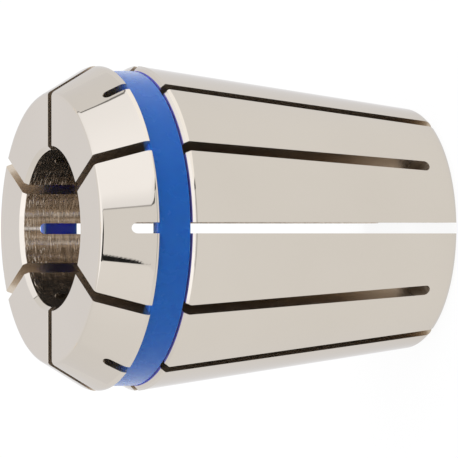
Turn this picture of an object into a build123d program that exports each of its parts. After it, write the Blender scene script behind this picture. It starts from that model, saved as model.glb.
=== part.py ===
"""Spring collet of the common 32 size, with a coloured band in its extraction groove.

The collet stands on its small rear end. The origin is the centre of the rear face,
+Z runs along the bore axis, and the front face is at the top.
"""
from build123d import *
import math
import os

os.makedirs("parts", exist_ok=True)

# Overall sizes, in millimetres and degrees
max_diameter = 33.0
overall_length = 40.0
taper_angle = 8.0
cone_angle = 30.0

# Head in front of the extraction groove
head_length = 5.3
land_length = 0.5
land_front_radius = 1.3
land_rear_chamfer = 0.1
face_edge_radius = 0.6

# Extraction groove
groove_width = 3.75
groove_diameter = 29.2

# Edges of the long taper
taper_front_chamfer = 0.45
rear_edge_radius = 1.1

# Bore
bore_diameter = 16.0
bore_chamfer = 0.4

# Clamping slots, sawn in turn from the front and from the rear
slots_per_end = 6
slot_width = 1.1
slot_tilt = 4.5
front_web = 2.15
rear_web = 3.1

# Coloured band in the groove
band_thickness = 1.37
band_edge_chamfer = 0.1
band_seat_clearance = 0.03
band_front_clearance = 0.05
band_rear_clearance = 0.2

# Radii and heights that follow from the sizes above
max_radius = max_diameter / 2
bore_radius = bore_diameter / 2
groove_radius = groove_diameter / 2
head_rear = overall_length - head_length
groove_rear = head_rear - groove_width
cone_rear = head_rear + land_length
taper_front = groove_rear - taper_front_chamfer
face_radius = max_radius - (overall_length - cone_rear) * math.tan(math.radians(cone_angle))
rear_radius = max_radius - taper_front * math.tan(math.radians(taper_angle))

# Corners of the body's section: distance from the axis, height, and radius of the corner
section_corners = [
    (bore_radius, bore_chamfer, 0),
    (bore_radius + bore_chamfer, 0, 0),
    (rear_radius, 0, rear_edge_radius),
    (max_radius, taper_front, 0),
    (max_radius - taper_front_chamfer, groove_rear, 0),
    (groove_radius, groove_rear, 0),
    (groove_radius, head_rear, 0),
    (max_radius - land_rear_chamfer, head_rear, 0),
    (max_radius, head_rear + land_rear_chamfer, 0),
    (max_radius, cone_rear, land_front_radius),
    (face_radius, overall_length, face_edge_radius),
    (bore_radius + bore_chamfer, overall_length, 0),
    (bore_radius, overall_length - bore_chamfer, 0),
]


def slot_plane(turn):
    """Plane of one slot's outline: through the axis at mid length, tilted as the closed ends are."""
    slope = math.radians(slot_tilt)
    return Plane(
        origin=(0, 0, overall_length / 2),
        x_dir=Vector(math.sin(slope), 0, math.cos(slope)).rotate(Axis.Z, turn),
        z_dir=Vector(math.cos(slope), 0, -math.sin(slope)).rotate(Axis.Z, turn),
    )


def along_slot(height):
    """Distance along the slot's plane at which a line square to it meets the bore at a height."""
    return slot_plane(0).to_local_coords(Vector(bore_radius, 0, height)).X


# The slots of one end stand midway between those of the other, and +X points at the wall between
slot_pitch = 360.0 / slots_per_end
rear_slot_turns = [slot_pitch / 4 + number * slot_pitch for number in range(slots_per_end)]
slots_from_rear = [slot_plane(turn) for turn in rear_slot_turns]
slots_from_front = [slot_plane(turn + slot_pitch / 2) for turn in rear_slot_turns]

# Collet body: one turned and ground piece of spring steel, slotted from both ends
with BuildPart() as collet_body:
    with BuildSketch(Plane.XZ):
        with BuildLine():
            FilletPolyline(
                [(radius, height) for radius, height, corner in section_corners],
                radius=[corner for radius, height, corner in section_corners],
                close=True,
            )
        make_face()
    revolve(axis=Axis.Z)

    # Slots that open at the rear end and stop in the head, with a round closed end
    with BuildSketch(*slots_from_rear):
        closed_end = along_slot(overall_length - front_web) - slot_width / 2
        with Locations((closed_end, 0)):
            Circle(slot_width / 2)
            Rectangle(overall_length * 2, slot_width, align=(Align.MAX, Align.CENTER))
    extrude(amount=max_diameter, mode=Mode.SUBTRACT)

    # Slots that open at the front face and stop before the rear end
    with BuildSketch(*slots_from_front):
        closed_end = along_slot(rear_web) + slot_width / 2
        with Locations((closed_end, 0)):
            Circle(slot_width / 2)
            Rectangle(overall_length * 2, slot_width, align=(Align.MIN, Align.CENTER))
    extrude(amount=max_diameter, mode=Mode.SUBTRACT)

collet_body.part.label = "collet_body"
export_step(collet_body.part, "parts/collet_body.step")

# Band: a closed ring of coloured plastic that lies on the groove's floor and bridges the slots
with BuildPart() as groove_band:
    band_front = head_rear - band_front_clearance
    band_rear = groove_rear + band_rear_clearance
    band_inner_radius = groove_radius + band_seat_clearance
    with BuildSketch(Plane.XY.offset(band_rear)):
        Circle(band_inner_radius + band_thickness)
        Circle(band_inner_radius, mode=Mode.SUBTRACT)
    extrude(amount=band_front - band_rear)
    outer_rims = groove_band.edges().filter_by(GeomType.CIRCLE).sort_by(SortBy.RADIUS)[-2:]
    chamfer(outer_rims, band_edge_chamfer)

groove_band.part.label = "groove_band"
export_step(groove_band.part, "parts/groove_band.step")
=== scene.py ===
"""Dresses the slotted collet and its blue band, and sets up the floor, the studio light and the camera.

Everything is in metres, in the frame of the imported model: the bore's axis is +Z, the rear face
stands on z = 0 and the front face is at the top. Only the finishes work in millimetres.
"""
import math

import bpy
from mathutils import Matrix, Vector

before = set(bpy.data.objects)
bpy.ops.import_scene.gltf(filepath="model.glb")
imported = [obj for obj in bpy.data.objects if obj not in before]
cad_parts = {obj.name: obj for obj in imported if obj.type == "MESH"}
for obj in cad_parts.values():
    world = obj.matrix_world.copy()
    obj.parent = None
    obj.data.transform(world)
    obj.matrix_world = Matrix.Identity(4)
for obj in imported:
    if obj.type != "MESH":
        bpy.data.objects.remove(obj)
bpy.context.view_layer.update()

# Camera: it looks down on the front face, and is rolled so that the bore's axis lies across the image
IMAGE_SIDE = 458
VIEW_ELEVATION = 22.8
VIEW_AZIMUTH = 14.8
VIEW_DISTANCE = 1.0
FOCAL_PIXELS = 9796.0
SENSOR_WIDTH = 36.0
AIM_HEIGHT = 0.020
AIM_PIXEL = (231.6, 228.4)
NEAREST_SEEN = 0.01
FARTHEST_SEEN = 50

# Sizes that the finishes need, in millimetres and degrees, but the marks' depth in metres
MILLIMETRES = 1000.0
MARK_DEPTH = 0.00001
LENGTH = 40.0
BORE_RADIUS = 8.0
GROOVE_REAR = 30.95
GROOVE_RADIUS = 14.6
TAPER_FRONT_RADIUS = 16.04
SLOT_WIDTH = 1.1
SLOT_PITCH = 30.0
FIRST_SLOT = 15.0
SURFACE_MARGIN = 0.03
SLOT_MARGIN = 0.02
END_MARGIN = 0.05
GROOVE_MARGIN = 0.1
SIDEWAYS_LIMIT = 0.5

# Edges whose shading is eased: the least radius at which each lies, and points of height and of
# the surface's upward lean, in millimetres and degrees. The cone's crown adds to the sine of its lean
TAPER_EDGE = (15.9, [(30.33, -8.0), (30.68, 8.0), (30.73, 45.0)])
LAND = (16.2, [(34.72, -45.0), (34.75, -8.0), (34.98, 5.65), (35.5, 30.0)])
FACE_EDGE = (13.3, [(39.70, 31.2), (39.88, 42.0), (39.97, 74.0)])
CONE_CROWN = [(34.9, 0.0), (35.5, -0.0187), (39.7, 0.0187), (39.95, 0.0)]
CONE_LEAST_RADIUS = 12.0

# Studio and floor: how far the side panel's edge is set back at an elevation, both in degrees, and
# half the floor's side in metres
PANEL_CORNER = [(0.0, 7.0), (5.3, 3.4), (15.0, 1.2), (25.0, 0.1), (30.0, 0.0)]
FLOOR_HALF = 3.0
FLOOR_GLOW_SHARE = 0.93

# Colours. A surface that is given two varies between them
WHITE = (1.0, 1.0, 1.0, 1.0)
FLOOR_WHITE = (0.96, 0.96, 0.96, 1.0)
ROOM_TINT = (1.0, 1.0, 1.01, 1.0)
BEHIND_TINT = (0.998, 1.0, 1.025, 1.0)
PANEL_TINT = (0.985, 1.0, 1.045, 1.0)
GROUND = ((0.61, 0.56, 0.494, 1), (0.65, 0.60, 0.534, 1))
BORED = ((0.50, 0.44, 0.37, 1), (0.86, 0.77, 0.67, 1))
SAWN = ((0.63, 0.55, 0.45, 1), (0.69, 0.60, 0.50, 1))
# Painted shade: the slot walls' darker colour, by height and at the closed ends
SAWN_IN_PAINTED_SHADE = ((0.50, 0.42, 0.33, 1), (0.56, 0.47, 0.37, 1))
# Painted reflection of the blue band on the groove's rear wall
PAINTED_BAND_REFLECTION = (0.50, 0.40, 0.70, 1)
BAND = ((0.002, 0.076, 0.310, 1), (0.006, 0.090, 0.342, 1))
# Painted light on the band: lighter inside, for light shining through it, and on its flat sides, for light
# falling on them
BAND_INSIDE_PAINTED_GLOW = (0.24, 0.36, 0.75, 1)
BAND_SIDES_PAINTED_LIGHT = (0.03, 0.19, 0.72, 1)
STEEL_EDGE_TINT = (0.85, 0.85, 0.87, 1.0)
SHEEN_TINT = (0.8, 0.85, 1.0, 1.0)


class Term:
    """A value in a node tree. Arithmetic on it adds the nodes that work the result out."""

    def __init__(self, tree, socket):
        self.tree = tree
        self.socket = socket

    def __add__(self, other):
        return calc("ADD", self, other)

    def __sub__(self, other):
        return calc("SUBTRACT", self, other)

    def __rsub__(self, other):
        return calc("SUBTRACT", other, self)

    def __mul__(self, other):
        return calc("MULTIPLY", self, other)

    def __truediv__(self, other):
        return calc("DIVIDE", self, other)

    def __lt__(self, other):
        return calc("LESS_THAN", self, other)

    def __gt__(self, other):
        return calc("GREATER_THAN", self, other)

    def __abs__(self):
        return calc("ABSOLUTE", self)


def give(tree, socket, value):
    """Links a term to a socket, or sets a plain value on it."""
    if isinstance(value, Term):
        tree.links.new(value.socket, socket)
    else:
        socket.default_value = value


def add(tree, kind, inputs=None, **settings):
    """Adds a node. Its inputs are given by name or by number."""
    node = tree.nodes.new(kind)
    for name, value in settings.items():
        setattr(node, name, value)
    for name, value in (inputs or {}).items():
        give(tree, node.inputs[name], value)
    return node


def term(tree, kind, output, inputs=None, **settings):
    """Adds a node and gives back one of its outputs."""
    return Term(tree, add(tree, kind, inputs, **settings).outputs[output])


def calc(operation, *values):
    """One step of arithmetic on terms and plain numbers."""
    tree = next(value.tree for value in values if isinstance(value, Term))
    return term(tree, "ShaderNodeMath", 0, dict(enumerate(values)), operation=operation)


def largest(first, *others):
    """The largest of several values."""
    for other in others:
        first = calc("MAXIMUM", first, other)
    return first


def smallest(first, second):
    """The smaller of two values."""
    return calc("MINIMUM", first, second)


def root(value):
    """The square root, with nothing below zero."""
    return calc("SQRT", largest(value, 0.0))


def sine(degrees):
    """The sine of an angle in degrees."""
    return calc("SINE", calc("RADIANS", degrees))


def turn_about_axis(x, y):
    """The angle about the axis, in degrees from X."""
    return calc("DEGREES", calc("ARCTAN2", y, x))


def split(vector):
    """The three parts of a vector."""
    node = add(vector.tree, "ShaderNodeSeparateXYZ", {0: vector})
    return [Term(vector.tree, output) for output in node.outputs]


def join(x, y, z):
    """A vector from its three parts."""
    return term(x.tree, "ShaderNodeCombineXYZ", 0, {0: x, 1: y, 2: z})


def ramp(value, start, end, low=0.0, high=1.0):
    """A soft step from low to high while the value goes from start to end."""
    inputs = {"Value": value, "From Min": start, "From Max": end, "To Min": low, "To Max": high}
    return term(value.tree, "ShaderNodeMapRange", "Result", inputs, interpolation_type="SMOOTHSTEP")


def band(value, low, high, soft):
    """One between low and high, nothing outside, with soft edges."""
    return ramp(value, low - soft, low + soft) * ramp(value, high - soft, high + soft, 1.0, 0.0)


def line_through(value, points):
    """A line through points of value and result, level beyond both ends."""
    total = points[0][1]
    for (start, low), (end, high) in zip(points, points[1:]):
        inputs = {"Value": value, "From Min": start, "From Max": end, "To Min": 0.0, "To Max": high - low}
        total = term(value.tree, "ShaderNodeMapRange", "Result", inputs) + total
    return total


def mix(factor, first, second, kind="RGBA"):
    """Goes from the first value to the second while the factor goes from 0 to 1."""
    node = add(factor.tree, "ShaderNodeMix", data_type=kind)
    sockets = [socket for socket in node.inputs if socket.enabled]
    for socket, value in zip(sockets, (factor, first, second)):
        give(factor.tree, socket, value)
    return Term(factor.tree, next(socket for socket in node.outputs if socket.enabled))


def noise(place, scale, detail, roughness=0.5):
    """Soft random tones between 0 and 1."""
    inputs = {"Vector": place, "Scale": scale, "Detail": detail, "Roughness": roughness}
    return term(place.tree, "ShaderNodeTexNoise", "Fac", inputs)


def rays(tree, *kinds):
    """For each kind, a term that is one for rays of that kind and zero for others."""
    return [term(tree, "ShaderNodeLightPath", f"Is {kind} Ray") for kind in kinds]


def in_studio_axes(vector):
    """The vector's parts in the studio's axes, in which X is the side that the photo was taken from."""
    inputs = {"Vector": vector, "Angle": -math.radians(VIEW_AZIMUTH)}
    return split(term(vector.tree, "ShaderNodeVectorRotate", 0, inputs, rotation_type="Z_AXIS"))


def place_in_millimetres(tree):
    """The place on an object, in millimetres."""
    inputs = {0: term(tree, "ShaderNodeTexCoord", "Object"), "Scale": MILLIMETRES}
    return term(tree, "ShaderNodeVectorMath", 0, inputs, operation="SCALE")


def empty_tree(owner):
    """The node tree of a material or a world, with nothing in it."""
    owner.use_nodes = True
    owner.node_tree.nodes.clear()
    return owner.node_tree


def put_out(shader, kind):
    """Links a shader to the output of its tree."""
    tree = shader.id_data
    tree.links.new(shader.outputs[0], add(tree, kind).inputs["Surface"])


def principled(name):
    """A material with one Principled shader, and that shader."""
    material = bpy.data.materials.new(name)
    shader = add(empty_tree(material), "ShaderNodeBsdfPrincipled")
    put_out(shader, "ShaderNodeOutputMaterial")
    return material, shader


def set_camera():
    """The camera of the photograph."""
    along = Vector((0, 0, 1))
    across = Vector((math.cos(math.radians(VIEW_AZIMUTH)), math.sin(math.radians(VIEW_AZIMUTH)), 0))
    tilt = math.radians(VIEW_ELEVATION)
    image_up = along.cross(across)
    image_right = -math.cos(tilt) * along + math.sin(tilt) * across
    backward = math.sin(tilt) * along + math.cos(tilt) * across
    data = bpy.data.cameras.new("camera")
    data.sensor_width = SENSOR_WIDTH
    data.lens = SENSOR_WIDTH * FOCAL_PIXELS / IMAGE_SIDE
    data.clip_start = NEAREST_SEEN
    data.clip_end = FARTHEST_SEEN
    camera = bpy.data.objects.new("camera", data)
    bpy.context.scene.collection.objects.link(camera)
    shift = [(pixel - IMAGE_SIDE / 2) / FOCAL_PIXELS * VIEW_DISTANCE for pixel in AIM_PIXEL]
    place = Vector((0, 0, AIM_HEIGHT)) + VIEW_DISTANCE * backward
    place += -shift[0] * image_right + shift[1] * image_up
    turn = Matrix((image_right, image_up, backward)).transposed()
    camera.matrix_world = Matrix.Translation(place) @ turn.to_4x4()
    bpy.context.scene.camera = camera


def light_studio():
    """White all round, with brighter soft panels beside and above, and narrow dark gaps.

    Azimuths and elevations are in degrees. Azimuth 0 is the side that the photo was taken from.
    """
    world = bpy.data.worlds.new("studio")
    bpy.context.scene.world = world
    tree = empty_tree(world)
    x, y, z = in_studio_axes(term(tree, "ShaderNodeTexCoord", "Generated"))
    azimuth = turn_about_axis(x, y)
    elevation = calc("DEGREES", calc("ARCSINE", z))

    # Panels: the far edge of the one at the side leans, and the foot of its near edge is rounded
    slanted = azimuth - largest(elevation - 14.4, 0.0) * 0.9
    curved = azimuth - line_through(elevation, PANEL_CORNER)
    side_panel = ramp(curved, 17.4, 18.6) * ramp(slanted, 108.6, 109.2, 1.0, 0.0)
    top_panel = band(azimuth, -82.0, 128.0, 6.0) * ramp(elevation, 50.0, 57.0)
    panels = largest(side_panel, top_panel)
    left_glow = band(azimuth, -100.0, -29.0, 1.0) * ramp(azimuth, -110.0, -30.0, 0.0, 0.09)

    # Gap on the left: it widens upwards, its right edge is toothed, and it goes on under the top panel
    rise = elevation - 33.2
    lean = rise * 0.41
    left_side = ramp(azimuth + lean, -27.7, -27.1)
    teeth = ramp(calc("PINGPONG", elevation, 0.21), 0.03, 0.18, 0.0, 1.3)
    right_edge = root(rise - 1.45) * 2.8 + teeth - lean - 28.15
    right_side = ramp(azimuth - right_edge, -0.15, 0.15, 1.0, 0.0)
    stand = left_side * right_side * band(elevation, 30.0, 40.0, 0.5)
    beam_top = smallest(azimuth * -0.6 + 52.0, 56.0)
    beam = left_side * ramp(elevation - beam_top, -3.5, 1.5, 1.0, 0.0)
    beam = beam * ramp(elevation, 41.0, 42.0) * ramp(azimuth, 15.0, 16.0, 1.0, 0.0)

    # Gaps along both edges of the side panel
    near_start = ramp(elevation, 0.0, 27.0, 13.6, 16.8)
    near_gap = ramp(curved - near_start, -0.3, 0.3) * ramp(curved, 17.7, 18.3, 1.0, 0.0)
    near_gap = near_gap * ramp(elevation, 30.0, 36.0, 0.85, 0.45) * ramp(elevation, 49.0, 51.0, 1.0, 0.0)
    far_gap = band(slanted, 109.2, 110.8, 0.3) * ramp(elevation, 29.0, 31.0, 0.75, 0.0)
    gaps = largest(stand, beam, near_gap, far_gap)

    # Brightness: matt surfaces get the panels' full strength, and what the camera sees is plain white
    seen, spread = rays(tree, "Camera", "Diffuse")
    behind = ramp(abs(azimuth), 130.0, 165.0)
    room = 1.0 - ramp(abs(azimuth), 105.0, 116.0) * 0.035 + behind * 0.075
    fading = ramp(curved, 18.0, 34.0, 0.5, 1.0) * ramp(azimuth, 60.0, 108.0, 1.0, 0.75)
    boost = (spread * 0.7 + 0.4) * largest(fading, top_panel * 1.25)
    level = (room + panels * boost + left_glow) * (1.0 - gaps * 0.98)
    tint = mix(panels, mix(behind, ROOM_TINT, BEHIND_TINT), PANEL_TINT)
    inputs = {"Color": mix(seen, tint, WHITE), "Strength": mix(seen, level, 1.0, "FLOAT")}
    put_out(add(tree, "ShaderNodeBackground", inputs), "ShaderNodeOutputWorld")


def lay_floor():
    """A plain white floor, which keeps the shadow. Only reflections also show a lit card on it."""
    half = FLOOR_HALF
    mesh = bpy.data.meshes.new("floor")
    corners = [(-half, -half, 0), (half, -half, 0), (half, half, 0), (-half, half, 0)]
    mesh.from_pydata(corners, [], [(0, 1, 2, 3)])
    floor = bpy.data.objects.new("floor", mesh)
    bpy.context.scene.collection.objects.link(floor)
    material = bpy.data.materials.new("floor_white")
    mesh.materials.append(material)
    tree = empty_tree(material)
    forward, beside, _ = in_studio_axes(term(tree, "ShaderNodeTexCoord", "Object"))

    # The lit card beside the collet, its dark foot, and a faint line in front
    sideways = beside - largest(forward - 0.095, 0.0) * 0.47
    lit = ramp(sideways, 0.0655, 0.0665) * ramp(beside * 0.364 + forward, 0.0, 0.001)
    foot_start = ramp(forward, 0.095, 0.115, 0.0610, 0.0460)
    foot = ramp(sideways - foot_start, 0.0, 0.001) * ramp(sideways, 0.0650, 0.0660, 1.0, 0.0)
    foot = foot * ramp(forward, 0.055, 0.070) * ramp(forward, 0.095, 0.115, 0.25, 1.0)
    front_line = band(forward, 0.135, 0.200, 0.004) * ramp(sideways, 0.045, 0.050, 1.0, 0.0)
    front_line = front_line * ramp(sideways, -0.130, -0.110)
    glow = (lit * 0.4 + 1.0) * (1.0 - largest(foot, front_line * 0.6) * 0.94)

    camera_ray, glossy_ray, clear_ray = rays(tree, "Camera", "Glossy", "Transmission")
    glow = (glow - 1.0) * glossy_ray + 1.0
    matt = term(tree, "ShaderNodeBsdfDiffuse", 0, {"Color": FLOOR_WHITE})
    plain = term(tree, "ShaderNodeEmission", 0, {"Color": WHITE, "Strength": glow})
    share = largest(camera_ray, glossy_ray, clear_ray) * FLOOR_GLOW_SHARE
    put_out(add(tree, "ShaderNodeMixShader", {0: share, 1: matt, 2: plain}), "ShaderNodeOutputMaterial")


def ground_steel():
    """Ground steel, polished outside, honed in the bore, sawn in the slots, with painted shade deeper in
    the slots and a painted reflection of the band on the groove's rear wall.
    """
    material, shader = principled("ground_steel")
    tree = shader.id_data
    place = place_in_millimetres(tree)
    x, y, z = split(place)
    radius = root(x * x + y * y)
    in_bore = radius < BORE_RADIUS + SURFACE_MARGIN

    # Slot walls: near a slot's mid plane, and facing neither out nor in
    angle = turn_about_axis(x, y)
    from_plane = radius * sine(calc("PINGPONG", angle - FIRST_SLOT, SLOT_PITCH / 2))
    vectors = {0: term(tree, "ShaderNodeNewGeometry", "True Normal"), 1: join(x / radius, y / radius, 0.0)}
    facing = term(tree, "ShaderNodeVectorMath", "Value", vectors, operation="DOT_PRODUCT")
    between_ends = (z < LENGTH - END_MARGIN) * (z > END_MARGIN)
    near_slot = from_plane < SLOT_WIDTH / 2 + SLOT_MARGIN
    in_slot = (abs(facing) < SIDEWAYS_LIMIT) * near_slot * between_ends

    # Parts of the slots, by their heights, where the walls get painted shade, and the groove's rear wall,
    # which gets a painted reflection of the blue band
    from_front = calc("PINGPONG", angle - (FIRST_SLOT + SLOT_PITCH), SLOT_PITCH) < SLOT_PITCH / 2
    midway = largest(ramp(z, 8.0, 14.0), 1.0 - from_front) * ramp(z, 26.0, 33.0, 1.0, 0.0)
    at_end = ramp(z, 4.0, 4.7, 1.0, 0.0) * from_front
    near_end = ramp(z, 8.5, 14.0, 1.0, 0.0) * (from_front - at_end)
    # The groove's rear wall, painted violet-blue as the band's reflection, with a matt share so that the
    # painted colour shows
    wall_with_band_reflection = (abs(z - GROOVE_REAR) < SURFACE_MARGIN) * (radius < TAPER_FRONT_RADIUS)
    wall_with_band_reflection = wall_with_band_reflection * (radius > GROOVE_RADIUS - GROOVE_MARGIN)

    # Grinding, boring and honing marks run round the axis
    def streaks(round_scale, along_scale, detail, roughness):
        spot = join(x * round_scale, y * round_scale, (z + radius) * along_scale)
        return noise(spot, 1.0, detail, roughness)

    marks = streaks(0.05, 9.0, 3.0, 0.6)
    scratches = ramp(streaks(0.5, 7.0, 2.0, 0.7), 0.3, 0.7)
    honed = streaks(0.9, 22.0, 2.0, 0.6)
    tone = noise(place, 0.09, 2.0)

    turned = mix(in_bore, mix(tone, *GROUND), mix(scratches, *BORED))
    # Painted shade: the slot walls take the darker colour where midway and at_end say, by height and by
    # the end that a slot is sawn from
    sawn = mix(largest(midway, at_end), mix(marks, *SAWN), mix(marks, *SAWN_IN_PAINTED_SHADE))
    colour = mix(wall_with_band_reflection, mix(in_slot, turned, sawn), PAINTED_BAND_REFLECTION)

    smooth_finish = marks * 0.02 + 0.02
    bore_finish = marks * 0.05 + 0.04
    finish = in_bore * (bore_finish - smooth_finish) + smooth_finish
    finish = largest(finish, in_slot * (at_end * 0.35 + 0.25))
    slot_dull = near_end * 0.045 + midway * ramp(z, 6.0, 12.0) * 0.014 + 0.025
    dull = largest(in_bore * 0.029, in_slot * slot_dull, wall_with_band_reflection * 0.4)

    # The turned surfaces take the normal of their true round shape, and some edges are eased
    own_normal = term(tree, "ShaderNodeTexCoord", "Normal")
    upward = split(own_normal)[2]
    for least_radius, points in (TAPER_EDGE, LAND, FACE_EDGE):
        here = (z > points[0][0]) * (z < points[-1][0]) * (radius > least_radius)
        upward = mix(here, upward, sine(line_through(z, points)), "FLOAT")
    upward = line_through(z, CONE_CROWN) * (radius > CONE_LEAST_RADIUS) + upward
    upward = (honed - 0.5) * (in_bore * 1.5) + upward
    upward = smallest(largest(upward, -1.0), 1.0)
    level_part = root(1.0 - upward * upward) * calc("SIGN", facing)
    true_round = join(x / radius * level_part, y / radius * level_part, upward)
    normal = mix(in_slot, true_round, own_normal, "VECTOR")
    normal = term(
        tree,
        "ShaderNodeVectorTransform",
        0,
        {0: normal},
        vector_type="NORMAL",
        convert_from="OBJECT",
        convert_to="WORLD",
    )
    grooves = {"Height": marks, "Strength": in_bore * 0.2 + 0.02, "Distance": MARK_DEPTH, "Normal": normal}

    give(tree, shader.inputs["Base Color"], colour)
    give(tree, shader.inputs["Roughness"], finish)
    give(tree, shader.inputs["Metallic"], 1.0 - dull)
    give(tree, shader.inputs["Normal"], term(tree, "ShaderNodeBump", 0, grooves))
    shader.inputs["Specular Tint"].default_value = STEEL_EDGE_TINT
    return material


def blue_plastic():
    """Semi-gloss blue plastic, with painted light: lighter towards the groove's floor for light shining
    through the band, and lighter on the band's flat sides for light falling on them.
    """
    material, shader = principled("band_plastic")
    tree = shader.id_data
    place = place_in_millimetres(tree)
    x, y, _ = split(place)
    radius = root(x * x + y * y)
    tone = noise(place, 0.35, 4.0)
    on_side = ramp(abs(split(term(tree, "ShaderNodeTexCoord", "Normal"))[2]), 0.8, 0.9)
    # Painted light: the band's colour is lighter towards its inside and on its flat sides
    colour = mix(on_side, mix(ramp(radius, 15.95, 14.7), mix(tone, *BAND), BAND_INSIDE_PAINTED_GLOW), BAND_SIDES_PAINTED_LIGHT)
    give(tree, shader.inputs["Base Color"], colour)
    give(tree, shader.inputs["Roughness"], ramp(tone, 0.3, 0.7, 0.22, 0.3))
    shader.inputs["Specular IOR Level"].default_value = 0.25
    shader.inputs["Subsurface Weight"].default_value = 1.0
    shader.inputs["Subsurface Radius"].default_value = (0.3, 0.6, 1.0)
    shader.inputs["Subsurface Scale"].default_value = 0.002
    shader.inputs["Sheen Weight"].default_value = 0.4
    shader.inputs["Sheen Roughness"].default_value = 0.35
    shader.inputs["Sheen Tint"].default_value = SHEEN_TINT
    return material


bpy.context.scene.view_settings.view_transform = "Standard"
set_camera()
light_studio()
lay_floor()
for name, finish in (("collet_body", ground_steel()), ("groove_band", blue_plastic())):
    node = bpy.data.objects[name]
    for entry in node.material_slots:
        entry.link = "OBJECT"
        entry.material = finish
